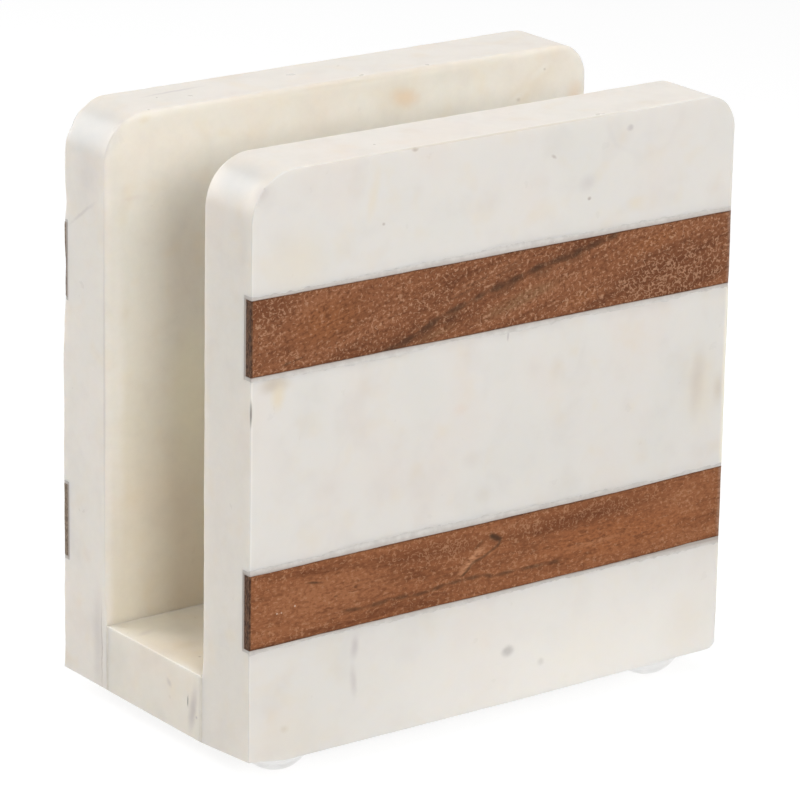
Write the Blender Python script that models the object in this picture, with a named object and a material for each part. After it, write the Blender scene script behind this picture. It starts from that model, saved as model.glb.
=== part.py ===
# Napkin holder. Two upright marble slabs are glued to a narrower marble base slab between them,
# so that napkins stand in the slot. Two wooden strips are let flush into the outer face of each
# upright slab, on epoxy, and the stone stands on four clear domed rubber feet.
#
# Metres, +Z up, X along the strips, front at -Y. The origin is on the ground, under the middle
# of the overall box.

import math

import bmesh
import bpy

# Upright slabs
FRONT_SLAB_LENGTH = 0.1400
# The rear slab is cut a little longer, and both are flush at the left end
REAR_SLAB_OVERRUN = 0.0020
SLAB_HEIGHT = 0.1419
SLAB_THICKNESS = 0.0193
SLOT_WIDTH = 0.0411
TOP_LEFT_CORNER_RADIUS = 0.0120
TOP_RIGHT_CORNER_RADIUS = 0.0090
BOTTOM_LEFT_CORNER_RADIUS = 0.0014
BOTTOM_RIGHT_CORNER_RADIUS = 0.0025
SLAB_EDGE_EASING = 0.0012

# Base slab, between the upright slabs, and the epoxy film on each of its long sides
BASE_THICKNESS = 0.0166
BASE_EDGE_EASING = 0.0008
JOINT_FILM_THICKNESS = 0.0003

# Wooden strips, at the same distance from the slab's bottom and top, and their epoxy beds
STRIP_HEIGHT = 0.0181
STRIP_THICKNESS = 0.0022
STRIP_MARGIN = 0.0292
EPOXY_WALL = 0.0008

# Domed feet, placed by hand: their rims stay inside the stone by these margins
FOOT_RADIUS = 0.0080
FOOT_HEIGHT = 0.0047
FOOT_CONTACT_RADIUS = 0.0015
FOOT_LEFT_MARGIN = 0.0047
FOOT_RIGHT_MARGIN = 0.0082
FOOT_FACE_MARGIN = 0.0001

# Clearance between pieces that touch
SEAT_GAP = 0.0003
# How far a cutter, or a strip before it is ground flush, runs past the stone
OVERRUN = 0.0050

# Smoothness, in steps per corner or turn
CORNER_STEPS = 12
SMALL_CORNER_STEPS = 4
EASING_STEPS = 3
DOME_STEPS = 8
FOOT_STEPS = 40
SHARP_ANGLE = math.radians(30)

# Sizes that follow from the ones above
REAR_SLAB_LENGTH = FRONT_SLAB_LENGTH + REAR_SLAB_OVERRUN
LEFT_END = -max(FRONT_SLAB_LENGTH, REAR_SLAB_LENGTH) / 2
STONE_BOTTOM = FOOT_HEIGHT + SEAT_GAP
OUTER_FACE = SLOT_WIDTH / 2 + SLAB_THICKNESS
STRIP_RISES = {
    "lower": STRIP_MARGIN,
    "upper": SLAB_HEIGHT - STRIP_MARGIN - STRIP_HEIGHT,
}
# The front is on the -Y side and the rear on the +Y side
SIDES = {"front": -1, "rear": 1}
SLAB_LENGTHS = {"front": FRONT_SLAB_LENGTH, "rear": REAR_SLAB_LENGTH}


def clear_scene():
    for item in list(bpy.data.objects):
        bpy.data.objects.remove(item, do_unlink=True)


def new_material(name, color, roughness, transmission=0.0):
    material = bpy.data.materials.new(name)
    material.use_nodes = True
    shader = material.node_tree.nodes["Principled BSDF"]
    shader.inputs["Base Color"].default_value = (*color, 1.0)
    shader.inputs["Roughness"].default_value = roughness
    shader.inputs["Metallic"].default_value = 0.0
    shader.inputs["Transmission Weight"].default_value = transmission
    return material


def marble_material():
    return new_material("marble", (0.80, 0.78, 0.74), 0.35)


def wood_material():
    return new_material("wood", (0.29, 0.11, 0.05), 0.50)


def epoxy_material():
    return new_material("epoxy", (0.52, 0.50, 0.46), 0.45)


def rubber_material():
    return new_material("clear_rubber", (0.90, 0.90, 0.88), 0.15, transmission=0.8)


def new_object(name, geometry, location, root, material=None):
    """An object from a bmesh, shaded smooth on its round faces, under the root empty."""
    bmesh.ops.recalc_face_normals(geometry, faces=geometry.faces)
    mesh = bpy.data.meshes.new(name)
    geometry.to_mesh(mesh)
    geometry.free()
    mesh.shade_smooth()
    mesh.set_sharp_from_angle(angle=SHARP_ANGLE)
    item = bpy.data.objects.new(name, mesh)
    bpy.context.scene.collection.objects.link(item)
    item.parent = root
    item.location = location
    if material:
        mesh.materials.append(material)
    return item


def as_cutter(item):
    item.display_type = "WIRE"
    item.hide_render = True
    item.hide_set(True)
    return item


def combine(item, operand, operation):
    modifier = item.modifiers.new(f"{operation.lower()}_{operand.name}", "BOOLEAN")
    modifier.operation = operation
    modifier.solver = "EXACT"
    modifier.object = operand


def ease_edges(item, width):
    modifier = item.modifiers.new("ease_edges", "BEVEL")
    modifier.limit_method = "ANGLE"
    modifier.angle_limit = SHARP_ANGLE
    modifier.width = width
    modifier.segments = EASING_STEPS


def corner(center_x, center_z, radius, start_degrees, steps):
    """A quarter turn of an outline in the XZ plane, counter-clockwise from the start angle."""
    angles = [math.radians(start_degrees + 90 * step / steps) for step in range(steps + 1)]
    return [(center_x + radius * math.cos(a), center_z + radius * math.sin(a)) for a in angles]


def slab_outline(length):
    """Upright slab seen from the front, from its bottom left corner."""
    low_left = BOTTOM_LEFT_CORNER_RADIUS
    low_right = BOTTOM_RIGHT_CORNER_RADIUS
    top_left = TOP_LEFT_CORNER_RADIUS
    top_right = TOP_RIGHT_CORNER_RADIUS
    points = corner(low_left, low_left, low_left, 180, SMALL_CORNER_STEPS)
    points += corner(length - low_right, low_right, low_right, 270, SMALL_CORNER_STEPS)
    points += corner(length - top_right, SLAB_HEIGHT - top_right, top_right, 0, CORNER_STEPS)
    points += corner(top_left, SLAB_HEIGHT - top_left, top_left, 90, CORNER_STEPS)
    return points


def base_outline():
    """Base slab seen from the front, with its end edges eased."""
    ease = BASE_EDGE_EASING
    far = FRONT_SLAB_LENGTH - ease
    top = BASE_THICKNESS - ease
    points = corner(ease, ease, ease, 180, SMALL_CORNER_STEPS)
    points += corner(far, ease, ease, 270, SMALL_CORNER_STEPS)
    points += corner(far, top, ease, 0, SMALL_CORNER_STEPS)
    points += corner(ease, top, ease, 90, SMALL_CORNER_STEPS)
    return points


def prism(corners, direction):
    """Closed prism: the face with these corners, extruded along a vector."""
    geometry = bmesh.new()
    face = geometry.faces.new([geometry.verts.new(point) for point in corners])
    extruded = bmesh.ops.extrude_face_region(geometry, geom=[face], use_keep_orig=True)
    moved = [part for part in extruded["geom"] if isinstance(part, bmesh.types.BMVert)]
    bmesh.ops.translate(geometry, verts=moved, vec=direction)
    return geometry


def plate(outline, thickness):
    """Prism of an XZ outline, from the XZ plane towards +Y."""
    return prism([(x, 0, z) for x, z in outline], (0, thickness, 0))


def bar(section, length):
    """Prism of a YZ section, from the YZ plane towards +X."""
    return prism([(0, y, z) for y, z in section], (length, 0, 0))


def slab_blank(name, side, root, material=None):
    """An upright slab before its grooves are cut."""
    low_y = min(SIDES[side] * OUTER_FACE, SIDES[side] * SLOT_WIDTH / 2)
    location = (LEFT_END, low_y, STONE_BOTTOM)
    geometry = plate(slab_outline(SLAB_LENGTHS[side]), SLAB_THICKNESS)
    item = new_object(name, geometry, location, root, material)
    ease_edges(item, SLAB_EDGE_EASING)
    return item


def rectangle(side, depth, margin):
    """YZ section round a strip: from outside the slab's face in to a depth, grown by a margin."""
    out = SIDES[side] * OVERRUN
    inward = -SIDES[side] * depth
    low = -margin
    high = STRIP_HEIGHT + margin
    return [(out, low), (inward, low), (inward, high), (out, high)]


def channel(side):
    """YZ section of an epoxy bed: a wall behind the strip and one along each long edge."""
    inner = rectangle(side, STRIP_THICKNESS + SEAT_GAP, SEAT_GAP)
    outer = rectangle(side, STRIP_THICKNESS + SEAT_GAP + EPOXY_WALL, SEAT_GAP + EPOXY_WALL)
    return inner + outer[::-1]


def across_slab(name, side, level, section, root, material=None):
    """A bar along a strip's place on a slab, run past both of the slab's ends."""
    location = (LEFT_END - OVERRUN, SIDES[side] * OUTER_FACE, STONE_BOTTOM + STRIP_RISES[level])
    geometry = bar(section, SLAB_LENGTHS[side] + 2 * OVERRUN)
    return new_object(name, geometry, location, root, material)


def groove_cutter(side, level, root):
    around = 2 * SEAT_GAP + EPOXY_WALL
    section = rectangle(side, STRIP_THICKNESS + around, around)
    return as_cutter(across_slab(f"{side}_{level}_groove", side, level, section, root))


def wooden_strip(side, level, blank, root, material):
    """A strip ground flush with the slab's face and eased ends."""
    section = rectangle(side, STRIP_THICKNESS, 0)
    strip = across_slab(f"{side}_{level}_strip", side, level, section, root, material)
    combine(strip, blank, "INTERSECT")


def epoxy_bed(side, level, blank, root, material):
    """The epoxy that holds a strip in its groove, ground flush with it."""
    bed = across_slab(f"{side}_{level}_strip_epoxy", side, level, channel(side), root, material)
    combine(bed, blank, "INTERSECT")


def upright_slab(side, root, marble, wood, epoxy):
    """A slab with its two grooves, the strips in them and the epoxy round the strips."""
    blank = as_cutter(slab_blank(f"{side}_blank", side, root))
    slab = slab_blank(f"{side}_slab", side, root, marble)
    for level in STRIP_RISES:
        combine(slab, groove_cutter(side, level, root), "DIFFERENCE")
        wooden_strip(side, level, blank, root, wood)
        epoxy_bed(side, level, blank, root, epoxy)


def film_faces(side):
    """Y of a joint film's face near the base slab, and of its face near the upright slab."""
    near_slab = SLOT_WIDTH / 2 - SEAT_GAP
    near_base = near_slab - JOINT_FILM_THICKNESS
    return SIDES[side] * near_base, SIDES[side] * near_slab


def base_slab(root, material):
    """The slab that the napkins stand on, flush with the front slab's ends and bottom."""
    front_y = film_faces("front")[0] + SEAT_GAP
    rear_y = film_faces("rear")[0] - SEAT_GAP
    geometry = plate(base_outline(), rear_y - front_y)
    new_object("base_slab", geometry, (LEFT_END, front_y, STONE_BOTTOM), root, material)


def joint_film(side, root, material):
    """The epoxy film between the base slab and an upright slab."""
    location = (LEFT_END, min(film_faces(side)), STONE_BOTTOM)
    geometry = plate(base_outline(), JOINT_FILM_THICKNESS)
    new_object(f"{side}_base_joint_epoxy", geometry, location, root, material)


def dome_profile():
    """Half section of a foot: its flat top, the dome, and the small flat that it stands on."""
    drop = FOOT_RADIUS**2 - FOOT_CONTACT_RADIUS**2 - FOOT_HEIGHT**2
    center_rise = drop / (2 * FOOT_HEIGHT)
    sphere_radius = math.hypot(FOOT_RADIUS, center_rise)
    rim_angle = math.asin(FOOT_RADIUS / sphere_radius)
    flat_angle = math.asin(FOOT_CONTACT_RADIUS / sphere_radius)
    points = [(0, 0)]
    for step in range(DOME_STEPS + 1):
        angle = rim_angle + (flat_angle - rim_angle) * step / DOME_STEPS
        points.append((sphere_radius * math.sin(angle), center_rise - sphere_radius * math.cos(angle)))
    points.append((0, -FOOT_HEIGHT))
    return points


def turned(profile, steps):
    """A solid of revolution about Z from a half section that starts and ends on the axis."""
    geometry = bmesh.new()
    top = geometry.verts.new((0, 0, profile[0][1]))
    bottom = geometry.verts.new((0, 0, profile[-1][1]))
    turns = [2 * math.pi * step / steps for step in range(steps)]
    rings = []
    for radius, height in profile[1:-1]:
        ring = [(radius * math.cos(a), radius * math.sin(a), height) for a in turns]
        rings.append([geometry.verts.new(point) for point in ring])
    for here in range(steps):
        after = (here + 1) % steps
        geometry.faces.new((top, rings[0][here], rings[0][after]))
        geometry.faces.new((bottom, rings[-1][after], rings[-1][here]))
        for upper, lower in zip(rings, rings[1:]):
            geometry.faces.new((upper[here], lower[here], lower[after], upper[after]))
    return geometry


def feet(root, material):
    """One foot near each end of each upright slab, its dome down."""
    left = LEFT_END + FOOT_LEFT_MARGIN + FOOT_RADIUS
    right = LEFT_END + FRONT_SLAB_LENGTH - FOOT_RIGHT_MARGIN - FOOT_RADIUS
    for side, sign in SIDES.items():
        for end, x in (("left", left), ("right", right)):
            y = sign * (OUTER_FACE - FOOT_FACE_MARGIN - FOOT_RADIUS)
            geometry = turned(dome_profile(), FOOT_STEPS)
            new_object(f"{side}_{end}_foot", geometry, (x, y, FOOT_HEIGHT), root, material)


def main():
    clear_scene()
    root = bpy.data.objects.new("napkin_holder", None)
    bpy.context.scene.collection.objects.link(root)
    marble = marble_material()
    wood = wood_material()
    epoxy = epoxy_material()
    for side in SIDES:
        upright_slab(side, root, marble, wood, epoxy)
        joint_film(side, root, epoxy)
    base_slab(root, marble)
    feet(root, rubber_material())


main()
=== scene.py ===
# The looks of the marble and wood napkin holder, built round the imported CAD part.
#
# Each CAD node is replaced by a finer mesh in the same place: stone with hand-ground edges and
# chipped groove lips, wooden strips, the grey filler round them, glue joints and clear feet.
# Lengths in this script are millimetres, in the frame's axes. Meshes are written in metres.

import math

import bmesh
import bpy
from mathutils import Matrix, Vector, noise


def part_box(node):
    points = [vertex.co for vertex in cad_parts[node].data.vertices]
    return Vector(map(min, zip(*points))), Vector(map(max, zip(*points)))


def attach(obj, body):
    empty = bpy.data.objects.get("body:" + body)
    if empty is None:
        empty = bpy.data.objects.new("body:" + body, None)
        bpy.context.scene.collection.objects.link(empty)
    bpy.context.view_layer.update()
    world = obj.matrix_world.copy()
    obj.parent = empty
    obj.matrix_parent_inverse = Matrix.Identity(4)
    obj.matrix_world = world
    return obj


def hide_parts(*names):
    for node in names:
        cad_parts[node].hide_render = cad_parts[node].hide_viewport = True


MM = 0.001

# The photograph's camera
LENS = 213.305
SENSOR = 36
AIM = (11.114, 14.971, 65.284)
DISTANCE = 1163.65
AZIMUTH = math.radians(-36.428)
ELEVATION = math.radians(17.85)
ROLL = math.radians(0.964)

# The stage and the camera's range, in metres
CLIP_START = 0.05
CLIP_END = 20
MIDDLE = (0, 0, 0.07)
HIGH_AIM = (0, 0, 0.58)
LAMP_DISTANCE = 1.1
FLOOR_RADIUS = 1.1
FLOOR_SEGMENTS = 96
FLOOR_COLOUR = (0.8, 0.8, 0.79, 1)
FLOOR_SEEN_COLOUR = (0.24, 0.24, 0.24, 1)
FLOOR_GLOW = 0.86
TENT_COLOUR = (1, 0.985, 0.965, 1)
TENT_STRENGTH = 0.03
WHITE = (1, 1, 1, 1)

# Stone: corner radii, and how finely it is drawn
TOP_LEFT_RADIUS = 12
TOP_RIGHT_RADIUS = 9
BOTTOM_LEFT_RADIUS = 0.3
BOTTOM_RIGHT_RADIUS = 2.5
BASE_RADII = (0.2, 1, 1, 0.25)
ARC_STEPS = 28
SMALL_ARC_STEPS = 8
EASING_STEPS = 7
OUTLINE_STEP = 2
SHARP_DEGREES = 32

# Stone: how far its hand-eased edges are rounded, and how near an end or edge that changes
OUTER_EASING = {"front": 0.25, "rear": 1.1}
OUTER_WOBBLE_SIZE = 6
RIGHT_EASING = 0.9
RIGHT_START = 4
RIGHT_FULL = 1
WORN_CORNER_EASING = 2.8
WORN_CORNER_FULL = 3
WORN_CORNER_END = 12
WORN_CORNER_HEIGHTS = (84, 102)
BOTTOM_FADE = (-4, 3)
INNER_EASING = 0.7
INNER_ROLL = 2.2
INNER_WOBBLE_SIZE = 7
GLUED_EASING = 0.06
EASING_TAPER = 5
EASING_WOBBLE = 0.22
BASE_EASING = 0.04

# Wear of the front slab's underside at its two front corners
WORN_LENGTH = 12
WORN_DEPTH = 17
WORN_HEIGHT = 6
WORN_RISE = 1.4
BOTTOM_RIGHT_RISE = 0.6

# Grooves, filler and strips
STATION_STEP = 0.35
GROOVE_DEPTH = 3
GROOVE_WALL = 0.18
END_WALL = 0.9
END_WALL_REACH = (0.6, 2.6)
FLARE_DEPTH = 0.7
FLARE_BEND = (0.3, 0.72)
CUTTER_OVERRUN = 2
STRIP_OVERRUN = 1
STRIP_TRIM = 0.02
STRIP_WEAR = 0.95
FILLER_SINK = 0.05
SINK_WAVE = 0.6
SINK_WAVE_SIZE = 3.3
SNUG = 0.02
ARRIS = 0.12
ARRIS_BEND = 0.3
EDGE_WAVES = ((0.07, 14), (0.03, 2.1))

# Chips along the grooves' lips, and how the filler's widths are read
BITE_DEPTH = 0.45
BITE_SIZE = 1.7
CHIP_DEPTH = 0.18
CHIP_SIZE = 0.7
BAND_TRIM = 0.25
NARROWEST_BAND = 0.22
BAND_STEP = 10
LIST_MARGIN = 0.001

# Glue joints and feet
GLUE_INSET = 0.03
GLUE_SINK = 0.1
GLUE_GAP = 0.01
FOOT_CONTACT = 1.5
FOOT_LIP = 0.15
FOOT_STEPS = 24
FOOT_SEGMENTS = 72
FOOT_SHARP_DEGREES = 40

# Width of the filler beside each long edge of the front strips, every BAND_STEP from the left.
# The rear strips have the same widths, counted from the right.
BAND_WIDTHS = {
    "upper_high": (0.9, 0.7, 1.1, 1.2, 1.4, 1.7, 1.7, 2, 2.1, 1.5, 1.5, 1.7, 1.6, 1.4, 1.2),
    "upper_low": (1.3, 1.5, 1.7, 1.7, 2, 1.1, 0.9, 1.6, 1.9, 0.9, 1.3, 1.4, 1.7, 0.9, 1.1),
    "lower_high": (1.5, 1.4, 1.4, 2.3, 2.1, 2.2, 1.9, 1.8, 1.6, 1.5, 1.5, 1.3, 1.1, 1.7, 1.5),
    "lower_low": (1.5, 1.1, 0.8, 0.9, 1.5, 1.4, 1.3, 1.3, 1.1, 0.8, 0.9, 1.1, 1.1, 1.3, 1.2),
}

# How far the lower front strip lies off level: down at its left end, up from the middle to the right
LEFT_DROP = 0.15
DROP_START = -70
DROP_END = -30
RIGHT_LIFT = 0.75
LIFT_START = 28
LIFT_END = 74

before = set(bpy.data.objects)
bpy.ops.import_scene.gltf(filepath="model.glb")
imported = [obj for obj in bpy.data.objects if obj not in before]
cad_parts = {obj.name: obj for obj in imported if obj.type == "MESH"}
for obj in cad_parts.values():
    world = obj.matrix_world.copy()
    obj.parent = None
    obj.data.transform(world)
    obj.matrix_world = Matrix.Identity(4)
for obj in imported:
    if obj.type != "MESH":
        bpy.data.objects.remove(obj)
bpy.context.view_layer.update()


def box(node):
    """Lowest and highest corner of a CAD node, in millimetres."""
    low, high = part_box(node)
    return low / MM, high / MM


SIDES = {"front": -1, "rear": 1}
LEVELS = ("upper", "lower")
FRONT_LOW, FRONT_HIGH = box("front_slab")
BASE_LOW, BASE_HIGH = box("base_slab")
LEFT = FRONT_LOW.x
RIGHT = {"front": FRONT_HIGH.x, "rear": box("rear_slab")[1].x}
BOTTOM = FRONT_LOW.z
TOP = FRONT_HIGH.z
OUTER = -FRONT_LOW.y
INNER = -FRONT_HIGH.y
BASE_TOP = BASE_HIGH.z
STRIPS = {level: tuple(corner.z for corner in box(f"front_{level}_strip")) for level in LEVELS}
STRIP_DEPTH = box("front_upper_strip")[1].y + OUTER

# The height of a ripple, and where its noise and that of the materials is read for each seed
RIPPLE_GAIN = 1.6
RIPPLE_ROW = 7.31
RIPPLE_LAYER = 0.37
SEED_SHIFT = (13.7, 5.9, 9.1)


def smooth(low, high, value):
    """0 below low, 1 above high, and an S-curve between."""
    part = min(max((value - low) / (high - low), 0), 1)
    return part * part * (3 - 2 * part)


def ripple(position, size, seed):
    """Smooth noise along a line, about -1 to 1."""
    return RIPPLE_GAIN * noise.noise(Vector((position / size, RIPPLE_ROW * seed, RIPPLE_LAYER)))


# Meshes


def skin(rings):
    """Closed mesh through rings that have the same number of points, capped at both ends."""
    geometry = bmesh.new()
    made = [[geometry.verts.new(Vector(point) * MM) for point in ring] for ring in rings]
    count = len(rings[0])
    for lower, upper in zip(made, made[1:]):
        for here in range(count):
            after = (here + 1) % count
            geometry.faces.new((lower[here], lower[after], upper[after], upper[here]))
    geometry.faces.new(made[0])
    geometry.faces.new(made[-1])
    bmesh.ops.recalc_face_normals(geometry, faces=geometry.faces)
    return geometry


def new_object(name, geometry):
    """Turns a bmesh into an object in the scene."""
    mesh = bpy.data.meshes.new(name)
    geometry.to_mesh(mesh)
    geometry.free()
    item = bpy.data.objects.new(name, mesh)
    bpy.context.scene.collection.objects.link(item)
    return item


def bake_modifiers(item):
    """Replaces an object's mesh by the one that its modifiers make."""
    depsgraph = bpy.context.evaluated_depsgraph_get()
    mesh = bpy.data.meshes.new_from_object(item.evaluated_get(depsgraph))
    item.modifiers.clear()
    item.data = mesh


def carve(item, tool, operation):
    """An exact boolean, after which the tool is deleted."""
    modifier = item.modifiers.new(operation.lower(), "BOOLEAN")
    modifier.operation = operation
    modifier.solver = "EXACT"
    modifier.object = tool
    bake_modifiers(item)
    bpy.data.objects.remove(tool, do_unlink=True)


def shade(item, sharp_degrees):
    """Smooth shading that keeps edges sharper than this angle and large faces flat."""
    item.data.shade_smooth()
    item.data.set_sharp_from_angle(angle=math.radians(sharp_degrees))
    modifier = item.modifiers.new("weighted_normals", "WEIGHTED_NORMAL")
    modifier.keep_sharp = True
    bake_modifiers(item)


def piece(item, node, material, sharp_degrees=SHARP_DEGREES):
    """Shades a finished mesh and puts it on the object in place of a CAD node."""
    shade(item, sharp_degrees)
    item.data.materials.clear()
    item.data.materials.append(material)
    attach(item, "root")
    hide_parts(node)


def outline(left, right, low, high, radii, arc_steps):
    """Rounded rectangle seen from the front, as (x, z, normal x, normal z) from the bottom left."""
    corners = ((left, low), (right, low), (right, high), (left, high))
    arcs = []
    for turn, ((x, z), radius, steps) in enumerate(zip(corners, radii, arc_steps)):
        center_x = x + (radius if turn in (0, 3) else -radius)
        center_z = z + (radius if turn < 2 else -radius)
        angles = [math.pi + math.pi / 2 * (turn + step / steps) for step in range(steps + 1)]
        arcs.append([
            (center_x + radius * math.cos(a), center_z + radius * math.sin(a), math.cos(a), math.sin(a))
            for a in angles
        ])
    points = []
    for arc, following in zip(arcs, arcs[1:] + arcs[:1]):
        points += arc
        start, end = arc[-1], following[0]
        steps = max(int(math.dist(start[:2], end[:2]) / OUTLINE_STEP), 1)
        for step in range(1, steps):
            part = step / steps
            x = start[0] + (end[0] - start[0]) * part
            z = start[1] + (end[1] - start[1]) * part
            points.append((x, z, start[2], start[3]))
    return points


def rounded_plate(points, first_y, last_y, first_easing, last_easing, inset=0):
    """Plate of an outline between two Y values, its faces' edges rounded by easing functions.

    An easing gives how far the rounding reaches along the face and how far down the plate's side.
    """
    inward = 1 if last_y > first_y else -1
    steps = range(EASING_STEPS + 1)
    faces = (
        (first_y, inward, first_easing, steps),
        (last_y, -inward, last_easing, reversed(steps)),
    )
    rings = []
    for face_y, direction, easing, order in faces:
        for step in order:
            angle = math.pi / 2 * step / EASING_STEPS
            ring = []
            for x, z, normal_x, normal_z in points:
                along, down = (max(reach - inset, GLUED_EASING / 2) for reach in easing(x, z))
                back = inset + along * (1 - math.sin(angle))
                depth = inset + down * (1 - math.cos(angle))
                ring.append((x - normal_x * back, face_y + direction * depth, z - normal_z * back))
            rings.append(ring)
    return skin(rings)


def slab_blank(name, side, inset=0, worn=1):
    """An upright slab before its grooves are cut."""
    sign = SIDES[side]

    def outer_easing(x, z):
        easing = OUTER_EASING[side]
        right_end = smooth(RIGHT[side] - RIGHT_START, RIGHT[side] - RIGHT_FULL, x)
        easing += (RIGHT_EASING - easing) * right_end
        if side == "rear":
            left_end = 1 - smooth(LEFT + WORN_CORNER_FULL, LEFT + WORN_CORNER_END, x)
            easing += worn * (WORN_CORNER_EASING - easing) * smooth(*WORN_CORNER_HEIGHTS, z) * left_end
        above_bottom = smooth(BOTTOM + BOTTOM_FADE[0], BOTTOM + BOTTOM_FADE[1], z)
        easing *= (1 + EASING_WOBBLE * ripple(x + z, OUTER_WOBBLE_SIZE, sign)) * above_bottom
        return easing, easing

    def inner_easing(x, z):
        glued = 1 - smooth(BASE_TOP, BASE_TOP + EASING_TAPER, z)
        wobble = 1 + EASING_WOBBLE * ripple(x + z, INNER_WOBBLE_SIZE, sign + 4)
        free = [reach * wobble for reach in (INNER_ROLL, INNER_EASING)]
        return [reach + (GLUED_EASING - reach) * glued for reach in free]

    points = outline(
        LEFT, RIGHT[side], BOTTOM, TOP,
        (BOTTOM_LEFT_RADIUS, BOTTOM_RIGHT_RADIUS, TOP_RIGHT_RADIUS, TOP_LEFT_RADIUS),
        (SMALL_ARC_STEPS, SMALL_ARC_STEPS, ARC_STEPS, ARC_STEPS),
    )
    geometry = rounded_plate(points, sign * OUTER, sign * INNER, outer_easing, inner_easing, inset)
    if side == "front":
        wear_corners(geometry)
    return new_object(name, geometry)


def wear_corners(geometry):
    """Lifts the stone's underside a little towards its two front corners, which are worn."""
    for vertex in geometry.verts:
        x, y, z = vertex.co / MM
        front = 1 - smooth(-OUTER, -OUTER + WORN_DEPTH, y)
        lift = WORN_RISE * (1 - smooth(LEFT, LEFT + WORN_LENGTH, x))
        lift += BOTTOM_RIGHT_RISE * smooth(0, RIGHT["front"], x)
        vertex.co.z += lift * front * (1 - smooth(BOTTOM, BOTTOM + WORN_HEIGHT, z)) * MM


def band_width(side, level, edge, x):
    """Width of the filler beside a strip's long edge, with its chips."""
    widths = BAND_WIDTHS[f"{level}_{edge}"]
    seed = 1 + 3 * LEVELS.index(level) + 11 * (edge == "high") + 31 * (side == "rear")
    position = (x - LEFT) / BAND_STEP
    if side == "rear":
        position = len(widths) - 1 - position
    position = min(max(position, 0), len(widths) - 1 - LIST_MARGIN)
    index = int(position)
    width = widths[index] + (widths[index + 1] - widths[index]) * (position - index)
    bites = max(ripple(x, BITE_SIZE, seed), 0) * BITE_DEPTH
    chips = abs(ripple(x, CHIP_SIZE, seed + 2)) * CHIP_DEPTH
    return max(width - BAND_TRIM + (bites + chips), NARROWEST_BAND)


def wall_width(side, x):
    """Thickness of the filler deep in the groove, thicker where the groove broke out at the ends."""
    from_end = min(x - LEFT, RIGHT[side] - x)
    return GROOVE_WALL + (END_WALL - GROOVE_WALL) * (1 - smooth(*END_WALL_REACH, from_end))


def sweep(name, side, overrun, section):
    """A mesh along a slab, run past its ends, through the (depth, z) pairs that section(x) gives."""
    start = LEFT - overrun
    end = RIGHT[side] + overrun
    count = int((end - start) / STATION_STEP)
    rings = []
    for step in range(count + 1):
        x = start + (end - start) * step / count
        rings.append([(x, SIDES[side] * (OUTER - depth), z) for depth, z in section(x)])
    return new_object(name, skin(rings))


def lip(side, level, edge, x, shrink):
    """(depth, distance from the strip) down one flank of a groove, from the stone's face in."""
    wall = wall_width(side, x)
    width = max(band_width(side, level, edge, x), wall)
    bend = (FLARE_DEPTH * FLARE_BEND[0], wall + FLARE_BEND[1] * (width - wall))
    flank = [(0, width), bend, (FLARE_DEPTH, wall)]
    return [(depth, distance - shrink) for depth, distance in flank]


def groove_section(side, level, x, shrink, sink):
    """A groove's two flanks and its floor, or those of the filler, shrunk and sunk a little."""
    low, high = STRIPS[level]
    floor_depth = GROOVE_DEPTH - shrink
    down = lip(side, level, "low", x, shrink)
    up = lip(side, level, "high", x, shrink)
    section = [(max(depth, sink), low - reach) for depth, reach in down]
    section += [(floor_depth, low - down[-1][1]), (floor_depth, high + up[-1][1])]
    return section + [(max(depth, sink), high + reach) for depth, reach in reversed(up)]


def groove_cutter(side, level):
    """The shape that cuts a groove with ragged lips, run out of the slab's face and ends."""

    def section(x):
        groove = groove_section(side, level, x, 0, 0)
        return [(-CUTTER_OVERRUN, groove[0][1]), *groove, (-CUTTER_OVERRUN, groove[-1][1])]

    return sweep("groove_cutter", side, CUTTER_OVERRUN, section)


def edge_line(side, level, edge, x):
    """Height of a strip's long edge, a little wavy, and off level on the lower front strip."""
    seed = 50 + LEVELS.index(level) + 4 * (edge == "high") + 9 * (side == "rear")
    height = STRIPS[level][1 if edge == "high" else 0]
    if (side, level) == ("front", "lower"):
        drop = LEFT_DROP * (1 - smooth(DROP_START, DROP_END, x))
        height += RIGHT_LIFT * smooth(LIFT_START, LIFT_END, x) - drop
    for turn, (amount, size) in enumerate(EDGE_WAVES):
        height += amount * ripple(x, size, seed + turn)
    return height


def strip_mesh(side, level):
    """A wooden strip with slightly worn arrises, run past both ends of the slab."""
    bend = ARRIS * ARRIS_BEND

    def section(x):
        low = edge_line(side, level, "low", x)
        high = edge_line(side, level, "high", x)
        lower = [(0, low + ARRIS), (bend, low + bend), (ARRIS, low), (STRIP_DEPTH, low)]
        return lower + [(STRIP_DEPTH, high), (ARRIS, high), (bend, high - bend), (0, high - ARRIS)]

    return sweep(f"{side}_{level}_strip_wood", side, STRIP_OVERRUN, section)


def filler_mesh(side, level):
    """The filler that fills a groove round its strip, a little below the stone's face."""
    back = STRIP_DEPTH + SNUG

    def section(x):
        low = edge_line(side, level, "low", x) - SNUG
        high = edge_line(side, level, "high", x) + SNUG
        sink = FILLER_SINK * (1 + SINK_WAVE * ripple(x, SINK_WAVE_SIZE, 77))
        groove = groove_section(side, level, x, SNUG, sink)
        return [(sink, low), *groove, (sink, high), (back, high), (back, low)]

    return sweep(f"{side}_{level}_strip_filler", side, STRIP_OVERRUN, section)


def lathe(profile, center_x, center_y, steps):
    """Rings of a solid of revolution about Z."""
    angles = [2 * math.pi * step / steps for step in range(steps)]
    return [
        [(center_x + radius * math.cos(a), center_y + radius * math.sin(a), z) for a in angles]
        for radius, z in profile
    ]


# Materials


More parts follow.
